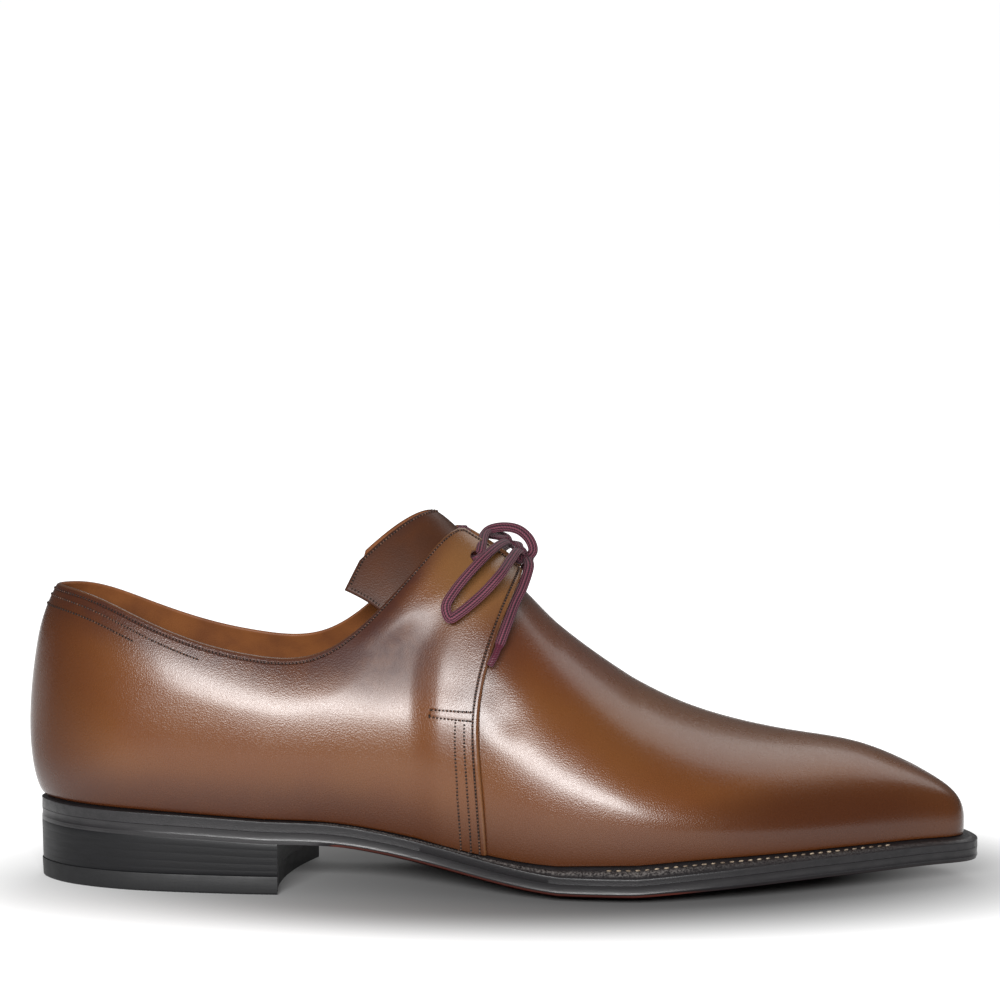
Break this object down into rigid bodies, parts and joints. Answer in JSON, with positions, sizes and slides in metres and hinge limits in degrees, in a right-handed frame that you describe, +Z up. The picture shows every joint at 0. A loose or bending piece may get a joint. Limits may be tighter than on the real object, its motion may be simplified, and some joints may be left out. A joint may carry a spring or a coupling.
{
  "type": "leather shoe",
  "caption": "Plain-toe derby dress shoe for the right foot, with a tall tongue, short facings tied by a flat lace, a welted leather sole and a stacked heel.",
  "frame": {"origin": "on the floor under the middle of the shoe", "axes": "+X from the heel to the toe, +Y towards the inner side of the foot, +Z up"},
  "size_m": [0.3136, 0.1042, 0.1227],
  "materials": {
    "upper_leather": "polished, hand-shaded calf",
    "tongue_leather": "satin calf",
    "lining_leather": "matt, vegetable tanned",
    "dyed_edge": "satin, dyed and waxed",
    "sole_leather": "satin, dyed",
    "heel_rubber": "matt",
    "lace_cotton": "matt, waxed cotton"
  },
  "bodies": {
    "root": {"upper": "upper_leather", "tongue": "tongue_leather", "insole": "lining_leather", "welt": "dyed_edge", "outsole": "sole_leather", "heel_stack": "dyed_edge", "heel_top_piece": "heel_rubber", "lace_bar": "lace_cotton", "lace_knot": "lace_cotton", "lace_loop_outer": "lace_cotton", "lace_loop_inner": "lace_cotton", "lace_end_outer": "lace_cotton", "lace_end_inner": "lace_cotton"}
  },
  "joints": []
}
